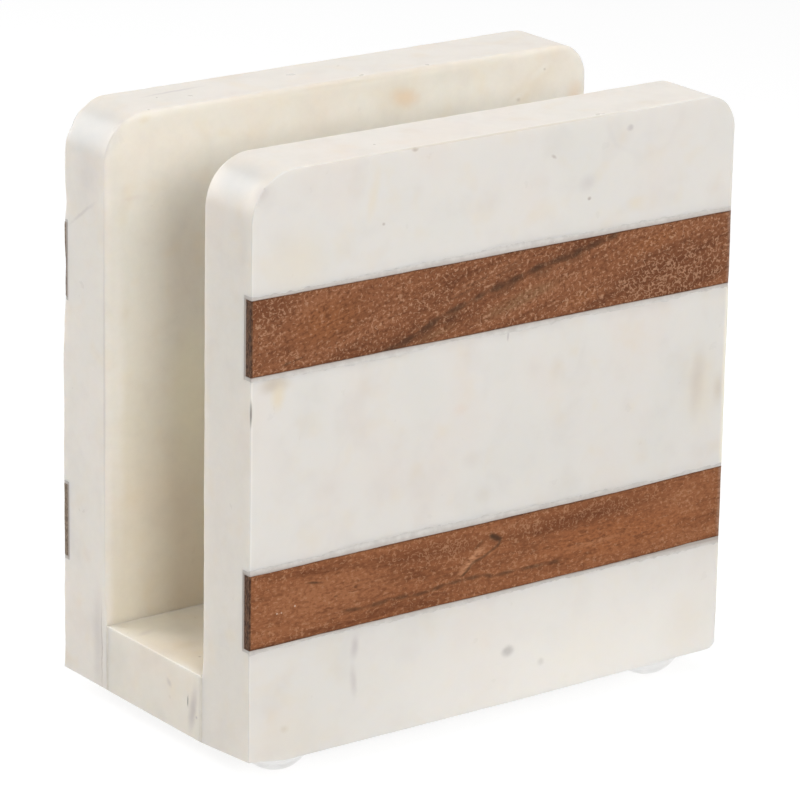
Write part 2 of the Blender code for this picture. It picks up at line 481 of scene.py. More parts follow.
class Recipe:
    """A material whose nodes are added one after another."""

    def __init__(self, name):
        self.material = bpy.data.materials.new(name)
        self.material.use_nodes = True
        self.tree = self.material.node_tree
        self.shader = self.tree.nodes["Principled BSDF"]

    def node(self, kind, inputs=(), output=0, **settings):
        made = self.tree.nodes.new(f"ShaderNode{kind}")
        for key, value in settings.items():
            setattr(made, key, value)
        for index, value in inputs:
            self.put(made.inputs[index], value)
        return made.outputs[output]

    def put(self, socket, value):
        if isinstance(value, bpy.types.NodeSocket):
            self.tree.links.new(value, socket)
        else:
            socket.default_value = value

    def set(self, name, value):
        self.put(self.shader.inputs[name], value)

    def math(self, operation, first, second=0):
        return self.node("Math", ((0, first), (1, second)), operation=operation)

    def vector(self, operation, first, second=(0, 0, 0), third=(0, 0, 0)):
        pairs = ((0, first), (1, second), (2, third))
        return self.node("VectorMath", pairs, operation=operation)

    def scaled(self, vector, amount):
        return self.node("VectorMath", ((0, vector), (3, amount)), operation="SCALE")

    def place(self):
        """Position on the object, in millimetres."""
        return self.scaled(self.node("TexCoord", output=3), 1 / MM)

    def distance(self, first, second):
        """How far apart two numbers are."""
        return self.math("ABSOLUTE", self.math("SUBTRACT", first, second))

    def axis(self, vector, index):
        return self.node("SeparateXYZ", ((0, vector),), output=index)

    def noise(self, place, size, detail=2, roughness=0.5, seed=0, output=0):
        """Noise whose lumps are about this size, one number or one for each axis."""
        sizes = size if isinstance(size, tuple) else (size, size, size)
        shift = tuple(part * seed for part in SEED_SHIFT)
        moved = self.vector("MULTIPLY_ADD", place, tuple(1 / s for s in sizes), shift)
        pairs = ((0, moved), (2, 1), (3, detail), (4, roughness))
        return self.node("TexNoise", pairs, output=output, noise_dimensions="3D")

    def step(self, value, low, high):
        """0 below low and 1 above high, smoothly, or the other way round if low is above high."""
        pairs = ((0, value), (1, low), (2, high), (3, 0), (4, 1))
        return self.node("MapRange", pairs, interpolation_type="SMOOTHSTEP", clamp=True)

    def span(self, value, low, high):
        """A value of 0 to 1 spread over a range."""
        pairs = ((0, value), (1, 0), (2, 1), (3, low), (4, high))
        return self.node("MapRange", pairs, clamp=False)

    def mix(self, factor, first, second, mode="MIX"):
        first, second = ((*c, 1) if isinstance(c, tuple) else c for c in (first, second))
        pairs = ((0, factor), (6, first), (7, second))
        return self.node("Mix", pairs, output=2, data_type="RGBA", blend_type=mode)

    def warp(self, place, size, amount, seed=0):
        """The place pushed about by noise."""
        push = self.noise(place, size, 2, 0.5, seed, output=1)
        return self.vector("MULTIPLY_ADD", self.vector("SUBTRACT", push, (0.5,) * 3), (amount,) * 3, place)

    def spot(self, place, center, radii, turn, core):
        """1 inside an ellipsoid, falling to 0 at its rim from a core of this share."""
        pairs = ((0, place), (1, center), (2, tuple(math.radians(t) for t in turn)), (3, radii))
        inside = self.node("Mapping", pairs, vector_type="TEXTURE")
        length = self.node("VectorMath", ((0, inside),), output=1, operation="LENGTH")
        return self.step(length, 1, core)

    def bump(self, height, strength, distance, normal=None):
        """Small relief this many millimetres high, over that of another bump if one is given."""
        pairs = [("Strength", strength), ("Distance", distance * MM), ("Height", height)]
        if normal is not None:
            pairs.append(("Normal", normal))
        return self.node("Bump", pairs)


# Where the looks of each face of the stone begin and are full: depths below the outer and the
# inner face, heights in the slot for its painted warm shade, and distances from the left end and
# from a strip
POLISH_START = 0.45
POLISH_FULL = 0.12
SHELTER_START = 0.7
SHELTER_FULL = 0.05
DEEP_HEIGHTS = (110, 50)
END_START = 3
END_FULL = 0.5
STRIP_HALO = (4, 0.8)

POLISHED_STONE = (0.731, 0.702, 0.664)
GROUND_STONE = (0.782, 0.732, 0.668)
# Inner faces: lighter as painted fill light in the shaded slot, and low in the slot yellower and a little
# darker as painted warm shade
INNER_STONE_PAINTED_FILL = (0.828, 0.79, 0.712)
DEEP_STONE_PAINTED_WARM_SHADE = (0.822, 0.76, 0.645)
FRONT_END_STONE = (0.835, 0.785, 0.72)
REAR_END_STONE = (0.88, 0.828, 0.765)
BASE_END_STONE = (0.87, 0.815, 0.73)
PINK_CLOUD = (1, 0.975, 0.962)
COOL_CLOUD = (0.975, 0.985, 0.985)
GREY_CLOUD = (0.93, 0.918, 0.915)
HONEY = (1, 0.955, 0.88)
VEIN = (0.9, 0.89, 0.905)
TINTS = {
    "violet": (0.47, 0.42, 0.42),
    "orange": (0.78, 0.52, 0.32),
    "tan": (0.74, 0.64, 0.48),
    "brown": (0.26, 0.18, 0.13),
    "dark": (0.1, 0.08, 0.07),
    "white": (0.88, 0.86, 0.83),
    # The next tint is only painted light
    "painted_pale_light": (0.9, 0.868, 0.82),
    # The next tint is only a painted sheen, on the slabs' rounded top left corners
    "cool": (0.672, 0.66, 0.634),
    # The next tint is only painted warm light
    "painted_warm_light": (0.9, 0.85, 0.7),
    "pink": (0.7, 0.56, 0.52),
    "umber": (0.5, 0.41, 0.3),
}

# Marks on the front face, and on the rear slab's inner face, are centred a little inside the stone
MARK_DEPTH = 0.05
REAR_MARK_DEPTH = 0.65
FACE = MARK_DEPTH - OUTER
REAR_FACE = INNER + REAR_MARK_DEPTH

# Marks in the stone, and painted light where a row says so: tint, centre, half sizes along the axes,
# strength, the share of the mark that is solid and, where it is turned, its turn about the axes in degrees
FRONT_MARKS = (
    ("umber", (-64.6, FACE, 97), (5.6, 2.8, 3.2), 0.54, 0.1),
    ("tan", (-63.6, FACE, 93.8), (2.8, 2.8, 5.2), 0.7, 0, (0, 8, 0)),
    ("violet", (24, FACE, 131), (3.91, 2.3, 2.9), 0.3, 0, (0, -25, 0)),
    ("brown", (24.8, FACE, 127.5), (0.69, 1.15, 0.52), 0.52, 0.2),
    ("violet", (36.5, FACE, 142.6), (1.49, 1.72, 1.03), 0.55, 0.2),
    ("tan", (38.9, FACE, 124.1), (4.2, 2.25, 2.8), 0.44, 0),
    ("brown", (14.1, FACE, 138.9), (1.15, 1.15, 0.57), 0.38, 0.2, (0, 20, 0)),
    ("tan", (-37.8, FACE, 137.5), (1.95, 2.25, 9.75), 0.36, 0, (0, 12, 0)),
    ("brown", (-34.8, FACE, 130.5), (0.57, 1.15, 0.57), 0.42, 0.2),
    ("brown", (-26.3, FACE, 146.6), (1.38, 1.15, 0.69), 0.42, 0.2),
    ("violet", (-68.8, FACE, 143), (3.68, 3.45, 3.91), 0.44, 0, (0, 30, 0)),
    ("brown", (-67.8, FACE, 143.8), (0.8, 1.15, 0.69), 0.63, 0.3),
    ("orange", (-11.8, FACE, 81.9), (3.36, 2.8, 2.24), 0.13, 0),
    ("umber", (-8, FACE, 68.7), (4.4, 2.8, 3.2), 0.13, 0),
    ("umber", (-4.5, FACE, 59.7), (4.2, 2.8, 3.8), 0.14, 0),
    ("umber", (16.4, FACE, 87.6), (3.4, 2.8, 4.2), 0.13, 0, (0, 15, 0)),
    ("violet", (1.7, FACE, 97.2), (0.4, 1.15, 1.61), 0.61, 0.2),
    ("violet", (59.8, FACE, 76), (3.4, 3.45, 12), 0.44, 0, (0, 4, 0)),
    ("umber", (66.6, FACE, 73.5), (2.6, 4.5, 5.5), 0.36, 0),
    ("dark", (3.8, FACE, 18.2), (2.6, 2.1, 2.1), 0.86, 0.2),
    ("dark", (13.9, FACE, 13.5), (1.7, 1.4, 1.4), 0.76, 0.1),
    ("umber", (21.6, FACE, 8), (1.7, 1.4, 1.3), 0.4, 0),
    ("violet", (-41.4, FACE, 29), (1.9, 2.3, 4.4), 0.58, 0, (0, 9, 0)),
    ("violet", (-41.6, FACE, 20.5), (1.5, 2.3, 6.2), 0.54, 0, (0, -5, 0)),
    ("umber", (-61, FACE, 12.8), (1.7, 1.6, 1.3), 0.42, 0),
    ("tan", (-60, FACE, 12), (14, 3, 13), 0.22, 0),
    ("tan", (-59, FACE, 125), (13, 3, 11), 0.34, 0),
    ("tan", (29, FACE, 13), (19, 3, 13), 0.46, 0),
    ("tan", (61, FACE, 74), (8, 3, 14), 0.36, 0),
    ("brown", (57.5, FACE, 34.2), (0.57, 1.15, 0.46), 0.53, 0.3),
    # Painted light: the front face lighter towards its bottom, as light bounced up from the floor
    ("painted_pale_light", (35, FACE, 3), (135, 3, 44), 0.9, 0),
    ("tan", (58.3, FACE, 14.1), (10.5, 4.5, 13.5), 0.16, 0, (0, 25, 0)),
    # Painted sheen: a cool grey tint on the front slab's rounded top left corner, as the reflection of the
    # lamp behind
    ("cool", (-67.8, -30, 143.1), (7.4, 9.6, 4), 0.85, 0.2, (0, -46, 0)),
)
REAR_MARKS = (
    ("orange", (15.2, REAR_FACE, 140), (6.16, 2.8, 3.64), 0.58, 0.1, (0, 15, 0)),
    ("tan", (13.4, REAR_FACE, 140.5), (12, 4.5, 6.75), 0.34, 0, (0, 10, 0)),
    ("white", (56.7, REAR_FACE, 141), (5.98, 2.6, 1.69), 0.6, 0.1, (0, -32, 0)),
    ("white", (50.5, REAR_FACE, 135.8), (4.94, 2.6, 1.56), 0.6, 0.1, (0, -36, 0)),
    ("tan", (54.2, REAR_FACE, 137.6), (13.5, 4.5, 6), 0.38, 0, (0, -34, 0)),
    ("brown", (50.1, REAR_FACE, 134.7), (1.03, 1.15, 0.8), 0.53, 0.2),
    ("brown", (58, REAR_FACE, 141.3), (0.8, 1.15, 0.69), 0.47, 0.2),
    ("orange", (67.6, REAR_FACE, 134.2), (3.64, 4.2, 4.48), 0.3, 0),
    ("violet", (-67.7, 21.4, 144.4), (0.69, 2.3, 4.83), 0.42, 0.1, (0, 62, 0)),
    ("violet", (-70.9, 21.4, 139.9), (0.69, 2.3, 4.14), 0.42, 0.1, (0, 10, 0)),
    ("tan", (-60, REAR_FACE, 144.9), (2.6, 2.25, 1.5), 0.46, 0),
    ("pink", (-63.4, REAR_FACE, 126.4), (4.6, 2.1, 1), 0.2, 0),
    ("violet", (-44.1, 32.7, TOP), (12.07, 0.92, 2.3), 0.44, 0.1, (0, 0, 3)),
    ("violet", (LEFT, 28.5, 130.9), (2.3, 6.9, 9.77), 0.2, 0, (8, 0, 0)),
    ("violet", (LEFT, 30.4, 121.8), (2.3, 9.2, 0.75), 0.3, 0, (-35, 0, 0)),
    ("violet", (LEFT, 24.3, 17), (1.72, 3.4, 17), 0.3, 0),
    ("brown", (LEFT, 22.6, 15), (1.15, 0.34, 15.5), 0.34, 0.2),
    # Painted light: a lit band down the rear inner face beside its left edge
    ("painted_pale_light", (-68, 20.5, 80), (3.6, 1.4, 64), 0.72, 0.1),
    # Painted light: warm fill on the shaded middle of the rear inner face
    ("painted_warm_light", (-47, 20.5, 75), (9, 1.6, 26), 0.8, 0.2),
    # Painted sheen: a cool grey tint on the rear slab's rounded top left corner, as the reflection of the
    # lamp behind
    ("cool", (-68.8, 30, 141.4), (9, 15, 4.4), 0.9, 0.2, (0, -52, 0)),
)
BASE_MARKS = (
    ("violet", (LEFT, -16.6, 11.9), (2.88, 2.07, 8.05), 0.55, 0.1, (12, 0, 0)),
    ("dark", (LEFT, -14.6, 13.8), (1.5, 0.35, 2.2), 0.75, 0.2),
    ("violet", (LEFT, -18.2, 10.8), (1.72, 0.57, 0.57), 0.61, 0.2),
    ("violet", (LEFT, -6.6, 15.8), (1.72, 1.84, 1.15), 0.37, 0.1, (40, 0, 0)),
    ("violet", (-65.8, 11.1, BASE_TOP), (3.91, 1.84, 1.72), 0.29, 0, (0, 0, 20)),
    ("tan", (-62.7, -0.7, BASE_TOP), (5.25, 3.3, 2.25), 0.46, 0),
    ("white", (-70.9, -13, BASE_TOP), (1.56, 4.42, 1.17), 0.52, 0.2, (0, 0, 6)),
    ("brown", (-64.1, -9.2, BASE_TOP), (0.57, 0.57, 0.69), 0.42, 0.3),
)

# Marks that follow an edge of the stone exactly, some of them painted light
FRONT_EDGE_MARKS = (
    ("umber", (-4, -OUTER, TOP), (68, 0.55, 0.55), 0.42, 0.2),
    # Painted light: fill on the shaded rounding of the front slab's left edge
    ("painted_pale_light", (LEFT, -OUTER, 80), (0.7, 0.7, 72), 0.34, 0.3),
    ("dark", (LEFT, -OUTER, 91), (0.5, 0.6, 4.5), 0.75, 0.2, (0, 1, 0)),
    # Painted light: a warm bright band on the rounding of the front slab's right end, where little lamp
    # light falls
    ("painted_warm_light", (69.2, -OUTER, 75), (2, 2.2, 80), 0.8, 0.3),
)
REAR_EDGE_MARKS = (
    ("umber", (0, 20.6, 146.4), (66, 1, 1.5), 0.24, 0.2),
    ("violet", (LEFT, 21.3, 85), (0.6, 0.5, 55), 0.22, 0.3),
)


def strip_distance(stone, place):
    """Distance in height from the nearest long edge of a strip, 0 on the strip."""
    height = stone.axis(place, 2)
    distances = []
    for low, high in STRIPS.values():
        away = stone.distance(height, (low + high) / 2)
        distances.append(stone.math("SUBTRACT", away, (high - low) / 2))
    return stone.math("MINIMUM", *distances)


def stain_or_painted_light(recipe, colour, amount, strength, tint):
    """Lays a tint over a colour where an amount of 0 to 1 says so, for stains and for painted light and
    shade alike.
    """
    return recipe.mix(recipe.math("MULTIPLY", amount, strength), colour, tint)


def shaded(recipe, colour, amount, strength, tint):
    """Darkens or tints a colour by multiplying where an amount of 0 to 1 says so."""
    return recipe.mix(recipe.math("MULTIPLY", amount, strength), colour, tint, "MULTIPLY")


def stone_faces(stone, place, end_stone):
    """The stone's colour on each kind of face, with painted fill and warm shade in the slot, and 1 where
    it is polished.
    """
    away = stone.math("ABSOLUTE", stone.axis(place, 1))
    polished = stone.step(away, OUTER - POLISH_START, OUTER - POLISH_FULL)
    sheltered = stone.step(away, INNER + SHELTER_START, INNER + SHELTER_FULL)
    inner = stone.mix(stone.step(stone.axis(place, 2), *DEEP_HEIGHTS), INNER_STONE_PAINTED_FILL, DEEP_STONE_PAINTED_WARM_SHADE)
    end = stone.step(stone.axis(place, 0), LEFT + END_START, LEFT + END_FULL)
    colour = stone.mix(sheltered, GROUND_STONE, inner)
    colour = stone.mix(end, colour, end_stone)
    return stone.mix(polished, colour, POLISHED_STONE), polished


def stone_clouds(stone, colour, place, soft, seed):
    """Soft clouds of pink, cool, grey and honey, and a few faint veins."""
    drift = stone.noise(soft, (22, 22, 30), 1, 0.5, seed)
    for cloud, start, full, strength, tint in (
        (drift, 0.5, 0.68, 0.8, PINK_CLOUD),
        (drift, 0.5, 0.32, 0.8, COOL_CLOUD),
        (stone.noise(soft, 9, 2, 0.5, seed + 2), 0.45, 0.8, 0.6, GREY_CLOUD),
        (stone.noise(soft, 8, 2, 0.5, seed + 3), 0.5, 0.8, 0.6, HONEY),
    ):
        colour = shaded(stone, colour, stone.step(cloud, start, full), strength, tint)
    ridge = stone.distance(stone.noise(soft, 30, 2, 0.5, seed + 4), 0.5)
    patches = stone.step(stone.noise(place, 30, 1, 0.5, seed + 5), 0.52, 0.68)
    vein = stone.math("MULTIPLY", stone.step(ridge, 0.035, 0), patches)
    return shaded(stone, colour, vein, 0.22, VEIN)


def lay_marks(stone, colour, place, marks):
    """Lays a table of marks over the stone's colour."""
    for tint, center, radii, strength, core, *turn in marks:
        amount = stone.spot(place, center, radii, turn[0] if turn else (0, 0, 0), core)
        colour = stain_or_painted_light(stone, colour, amount, strength, TINTS[tint])
    return colour


def marble(name, marks, seed, end_stone, edge_marks=()):
    """White marble: polished outer face, ground ends, soft clouds, its own marks, and painted light and
    shade in the slot and where its marks say so.
    """
    stone = Recipe(name)
    place = stone.place()
    soft = stone.warp(place, 16, 4, seed)
    bent = stone.warp(stone.warp(place, 7, 1.6, seed), 1.6, 0.6, seed + 1)
    colour, polished = stone_faces(stone, place, end_stone)
    colour = stone_clouds(stone, colour, place, soft, seed)
    near = stone.step(strip_distance(stone, place), *STRIP_HALO)
    colour = shaded(stone, colour, stone.math("MULTIPLY", near, polished), 0.5, GREY_CLOUD)
    colour = lay_marks(stone, colour, bent, marks)
    colour = lay_marks(stone, colour, place, edge_marks)

    rough = stone.span(polished, 1, 0.22)
    mottle = stone.noise(place, 2.2, 3, 0.6, seed + 6)
    grain = stone.noise(place, 0.55, 2, 0.6, seed + 9)
    uneven = stone.math("ADD", stone.span(mottle, -0.03, 0.03), stone.span(grain, -0.012, 0.012))
    light = stone.math("ADD", stone.math("MULTIPLY", uneven, rough), 1)
    grey = stone.node("CombineXYZ", ((0, light), (1, light), (2, light)))

    stone.set("Base Color", stone.mix(1, colour, grey, "MULTIPLY"))
    stone.set("Roughness", stone.span(stone.noise(bent, 5, 3, 0.5, seed + 7), 0.24, 0.36))
    stone.set("IOR", 1.5)
    stone.set("Specular IOR Level", 0.22)
    stone.set("Subsurface Weight", 0.45)
    stone.set("Subsurface Radius", (1, 0.85, 0.65))
    stone.set("Subsurface Scale", 3 * MM)
    waves = stone.bump(stone.noise(place, 7, 1, 0.5, seed + 8), 0.4, 0.04)
    stone.set("Normal", stone.bump(stone.math("MULTIPLY", grain, rough), 0.2, 0.01, waves))
    return stone.material


DARK_WOOD = (0.112, 0.035, 0.012)
MID_WOOD = (0.23, 0.087, 0.037)
PALE_WOOD = (0.315, 0.138, 0.068)
PORE_FILL = (0.48, 0.28, 0.17)
BLACK_WOOD = (0.046, 0.021, 0.009)
END_GRAIN = {
    "front": ((0.035, 0.013, 0.005), (0.165, 0.08, 0.042)),
    "rear": ((0.12, 0.082, 0.055), (0.36, 0.285, 0.215)),
}
PLAIN_GLOW = (1, 0.98, 0.96)
WARM_GLOW = (1.13, 1.08, 0.99)
WOOD_TINTS = {
    "red": (0.126, 0.038, 0.013),
    "orange": (0.272, 0.101, 0.036),
    "amber": (0.29, 0.122, 0.058),
    "copper": (0.29, 0.108, 0.043),
    "olive": (0.21, 0.112, 0.054),
    "pale": (0.43, 0.215, 0.12),
    "grey": (0.33, 0.225, 0.165),
    "black": BLACK_WOOD,
    "white": (0.7, 0.64, 0.58),
}

# Depth of patches and lines below the face, the overlap of a line's parts, and where the dark rims
# and the end grain begin and are full, from a strip's long edges or left end
PATCH_DEPTH = 3
LINE_DEPTH = 2
LINE_OVERLAP = 1.2
RIM_START = 0.45
RIM_FULL = 0.1
GRAIN_START = 0.6
GRAIN_FULL = 0.2

# Patches of the wood: tint, centre along and up the face, half sizes, turn in degrees, strength,
# solid share, and how much more crowded its pores are there
UPPER_PATCHES = (
    ("red", (-66, 114.5), (11, 7), -10, 0.75, 0.2, 0.1),
    ("orange", (-50, 109.5), (14, 7.5), -10, 0.7, 0.2, -0.3),
    ("red", (-24, 109.5), (12, 2.6), -16, 0.45, 0.1, 0.1),
    ("amber", (-6, 112.8), (24, 1.3), -17, 0.6, 0.1, 0),
    ("red", (-2, 111.2), (26, 0.9), -15, 0.6, 0.2, 0),
    ("olive", (5, 105.6), (16, 2.6), -14, 0.75, 0.2, 0),
    ("olive", (-20, 101.2), (10, 1.4), -14, 0.5, 0.1, 0),
    ("red", (50, 104.5), (24, 8.5), -6, 0.85, 0.3, 0.16),
    ("orange", (44, 113.5), (16, 3.2), -10, 0.55, 0.1, 0),
    ("orange", (24, 103.5), (8, 3), -10, 0.35, 0.2, 0.1),
    ("grey", (69.2, 109), (1.9, 40), 0, 0.85, 0.4, -0.3),
)
LOWER_PATCHES = (
    ("amber", (-48, 43), (27, 8.5), 0, 0.65, 0.2, -0.2),
    ("red", (-60, 46.6), (7, 0.8), -6, 0.35, 0.1, 0),
    ("red", (-64, 41), (3.5, 1.4), 0, 0.35, 0.1, 0),
    ("red", (-18, 48.2), (20, 4.6), 3, 0.65, 0.2, 0.16),
    ("red", (24, 48.6), (40, 4), 0, 0.65, 0.2, 0.12),
    ("pale", (-7.4, 43.6), (7, 1.5), -38, 0.9, 0.3, -0.4),
    ("copper", (36, 41.5), (32, 6.5), 0, 0.7, 0.3, -0.2),
    ("pale", (30, 41), (14, 1), -3, 0.3, 0.1, -0.2),
    ("grey", (69, 43), (1.8, 40), 0, 0.75, 0.4, -0.3),
    ("white", (-58.3, 42.6), (0.3, 0.3), 0, 0.6, 0.3, 0),
    ("white", (-63.4, 41.7), (0.3, 0.3), 0, 0.6, 0.3, 0),
    ("white", (-62.2, 41.7), (0.3, 0.3), 0, 0.5, 0.3, 0),
    ("black", (-46.8, 42.5), (0.9, 0.4), 0, 0.5, 0.2, 0),
    ("black", (-41.1, 43.8), (0.8, 0.4), 0, 0.4, 0.2, 0),
    ("black", (30.5, 44.2), (0.7, 0.4), 0, 0.45, 0.2, 0),
)

# Dark lines in the wood: points along the strip, then half width and strength
UPPER_LINES = (
    (((-36.7, 98.9), (-29.6, 100.5), (-24.8, 102.4), (-17.1, 105.8), (-9.3, 107.7), (-4.6, 109.3),
      (1, 110.2), (6.4, 111.7), (12.8, 113.3), (20, 114), (23.2, 115.1), (30.8, 116.6),
      (33.7, 117.6)), 1.3, 0.68),
    (((-33, 99.4), (-26, 101.2), (-18, 104.2), (-12, 106.2)), 2.8, 0.38),
    (((-4.6, 108.6), (6.4, 111), (16, 113), (26, 115.3)), 2.8, 0.38),
    (((-18, 108.4), (-4, 111.9), (8, 115)), 0.7, 0.32),
    (((-14, 110.6), (-2, 113.6), (6, 115.8)), 0.6, 0.3),
    (((-62, 101.2), (-60.2, 101.6)), 0.45, 0.6),
    (((-58.6, 101.9), (-56.8, 102.3)), 0.35, 0.5),
)
LOWER_LINES = (
    (((-45.6, 38.5), (-38, 38.2), (-30.7, 38.7), (-25, 38.2), (-19.7, 38.4), (-14.6, 39.1),
      (-10, 39.2), (-3.8, 39.2), (-1.1, 38.4), (6.1, 38.5), (15.1, 38.2), (19.1, 37.9)), 0.85, 0.62),
    (((0.7, 47.1), (0.2, 46), (-2.2, 44.7), (-4.5, 43.6), (-7.4, 42.7), (-9.2, 41),
      (-10.3, 40.3)), 0.6, 0.62),
    (((-1.9, 48.7), (-0.8, 48.2), (0.7, 47.4)), 1.25, 0.95),
    (((-4, 48), (-6.6, 46.3)), 0.6, 0.4),
    (((-54.8, 47.5), (-51.1, 47)), 0.45, 0.75),
)

# The strips' wood: side, level, tilt of the growth lines in degrees, patches, dark lines, strength
# of flecks and pores, a tone over all of it, and seed
WOODS = (
    ("front", "upper", 14, UPPER_PATCHES, UPPER_LINES, 1, PLAIN_GLOW, 2),
    ("front", "lower", 1, LOWER_PATCHES, LOWER_LINES, 0.55, WARM_GLOW, 5),
    ("rear", "upper", -5, (), (), 0.8, PLAIN_GLOW, 8),
    ("rear", "lower", 6, (), (), 0.7, WARM_GLOW, 11),
)


def growth(timber, turned, seed):
    """The wood's colour along its growth lines, and its fibres."""
    bands = timber.noise(turned, (30, 9, 3.6), 3, 0.5, seed)
    fibres = timber.noise(turned, (2.2, 0.7, 0.5), 4, 0.65, seed + 1)
    tone = timber.math("ADD", timber.span(bands, -0.35, 0.95), timber.span(fibres, -0.55, 0.55))
    colour = timber.mix(timber.step(tone, -0.1, 0.45), DARK_WOOD, MID_WOOD)
    return timber.mix(timber.step(tone, 0.35, 0.95), colour, PALE_WOOD), fibres


def lay_patches(timber, colour, bent, face, patches, fibres, crowd):
    """Lays the patches, ragged along the fibres, and adds what they say to the pores' crowding."""
    for tint, (x, z), (long, high), turn, strength, core, crowding in patches:
        patch = timber.spot(bent, (x, face, z), (long, PATCH_DEPTH, high), (0, turn, 0), core)
        ragged = timber.math("MULTIPLY", patch, timber.step(fibres, 0.3, 0.55)) if long > 1 else patch
        colour = stain_or_painted_light(timber, colour, ragged, strength, WOOD_TINTS[tint])
        if crowding:
            crowd = timber.math("ADD", crowd, timber.math("MULTIPLY", patch, crowding))
    return colour, crowd


def lay_pores(timber, colour, place, turned, crowd, texture, seed):
    """Lays dark and pale flecks along the fibres, and worm-like pores, which it gives as well."""
    fleck = timber.noise(turned, (1.15, 0.9, 0.78), 2, 0.6, seed + 5)
    colour = stain_or_painted_light(timber, colour, timber.step(fleck, 0.49, 0.33), 0.78 * texture, DARK_WOOD)
    colour = stain_or_painted_light(timber, colour, timber.step(fleck, 0.55, 0.72), 0.54 * texture, PORE_FILL)
    squirm = timber.warp(place, 1.6, 1, seed + 8)
    worm = timber.distance(timber.noise(squirm, (1.35, 1.1, 1.15), 1, 0.5, seed + 9), 0.5)
    broken = timber.math("ADD", timber.noise(place, 0.9, 1, 0.5, seed + 6), crowd)
    pores = timber.math("MULTIPLY", timber.step(worm, 0.065, 0.02), timber.step(broken, 0.5, 0.62))
    return stain_or_painted_light(timber, colour, pores, 0.58 * texture, PORE_FILL), pores


def lay_lines(timber, colour, bent, face, lines):
    """Lays the dark lines, each a chain of long spots that overlap."""
    for points, half_width, strength in lines:
        for (x, z), (next_x, next_z) in zip(points, points[1:]):
            center = ((x + next_x) / 2, face, (z + next_z) / 2)
            half_length = math.dist((x, z), (next_x, next_z)) / 2 + LINE_OVERLAP
            angle = -math.degrees(math.atan2(next_z - z, next_x - x))
            mark = timber.spot(bent, center, (half_length, LINE_DEPTH, half_width), (0, angle, 0), 0.15)
            colour = stain_or_painted_light(timber, colour, mark, strength, BLACK_WOOD)
    return colour


def darken_rims(timber, colour, place, side, level):
    """Darkens the wood along the strip's two long edges: partly its own dark edges, partly painted shadow
    of the gap beside them.
    """
    low, high = STRIPS[level]
    height = timber.axis(place, 2)
    if (side, level) == ("front", "lower"):
        along = timber.step(timber.axis(place, 0), LIFT_START, LIFT_END)
        height = timber.math("SUBTRACT", height, timber.math("MULTIPLY", along, RIGHT_LIFT))
    away = timber.distance(height, (low + high) / 2)
    rim = timber.step(away, (high - low) / 2 - RIM_START, (high - low) / 2 - RIM_FULL)
    return stain_or_painted_light(timber, colour, rim, 0.55, BLACK_WOOD)


def wood(side, level, tilt, patches, lines, texture, glow, seed):
    """Red-brown hardwood with pale filled pores, along growth lines that rise by a tilt."""
    timber = Recipe(f"wood_{side}_{level}")
    face = SIDES[side] * OUTER
    place = timber.place()
    bent = timber.warp(timber.warp(place, (14, 6, 5), 1, seed), 1.2, 0.35, seed + 7)
    turned = timber.node("Mapping", ((0, bent), (2, (0, math.radians(tilt), 0))), vector_type="POINT")
    colour, fibres = growth(timber, turned, seed)
    crowd = timber.span(timber.noise(place, 9, 2, 0.5, seed + 3), -0.12, 0.12)
    colour, crowd = lay_patches(timber, colour, bent, face, patches, fibres, crowd)
    colour, pores = lay_pores(timber, colour, place, turned, crowd, texture, seed)
    colour = lay_lines(timber, colour, bent, face, lines)
    colour = darken_rims(timber, colour, place, side, level)
    end = timber.step(timber.axis(place, 0), LEFT + GRAIN_START, LEFT + GRAIN_FULL)
    ends = timber.noise(place, (0.8, 0.3, 0.9), 3, 0.6, seed + 4)
    end_colour = timber.mix(timber.step(ends, 0.35, 0.68), *END_GRAIN[side])
    colour = timber.mix(end, timber.mix(1, colour, glow, "MULTIPLY"), end_colour)

    timber.set("Base Color", colour)
    timber.set("Roughness", timber.span(fibres, 0.5, 0.68))
    timber.set("IOR", 1.45)
    timber.set("Specular IOR Level", 0.2)
    timber.set("Normal", timber.bump(pores, 0.4, 0.02, timber.bump(fibres, 0.4, 0.03)))
    return timber.material


# Colours of the filler, the glue and the feet, and where the glue's faint line begins and is full
FILLER_TONES = ((0.548, 0.52, 0.492), (0.64, 0.612, 0.578))
FILLER_BESIDE_WOOD = (0.44, 0.38, 0.345)
FILLER_EDGE_AND_PAINTED_SHADOW = (0.22, 0.15, 0.11)
GLUE_TONES = ((0.73, 0.675, 0.585), (0.8, 0.74, 0.65))
GLUE_LINE = (0.47, 0.4, 0.32)
GLUE_LINE_START = 0.5
GLUE_LINE_FULL = 0.2
RUBBER_TONES = ((0.95, 0.92, 0.86), (0.98, 0.96, 0.92))


def filler(seed):
    """Pale grey filler round the strips, mixed with stone dust, darker beside the wood, and with a dark
    line there, partly painted gap shadow.
    """
    paste = Recipe("filler")
    place = paste.place()
    lumps = paste.noise(place, 2.4, 3, 0.55, seed)
    dust = paste.noise(place, 0.45, 2, 0.6, seed + 1)
    from_strip = strip_distance(paste, place)
    away = paste.math("ADD", from_strip, paste.span(lumps, -0.35, 0.35))
    colour = paste.mix(paste.step(lumps, 0.3, 0.7), *FILLER_TONES)
    colour = stain_or_painted_light(paste, colour, paste.step(away, 1.3, 0.1), 0.65, FILLER_BESIDE_WOOD)
    colour = stain_or_painted_light(paste, colour, paste.step(dust, 0.64, 0.76), 0.45, TINTS["white"])
    # A dark line at the wood's edge: partly the wood's dark edge, partly painted shadow of the gap beside
    # the strip
    colour = stain_or_painted_light(paste, colour, paste.step(from_strip, 0.3, 0.02), 0.35, FILLER_EDGE_AND_PAINTED_SHADOW)
    paste.set("Base Color", colour)
    paste.set("Roughness", paste.span(dust, 0.4, 0.6))
    paste.set("Normal", paste.bump(dust, 0.4, 0.03, paste.bump(lumps, 0.4, 0.08)))
    return paste.material


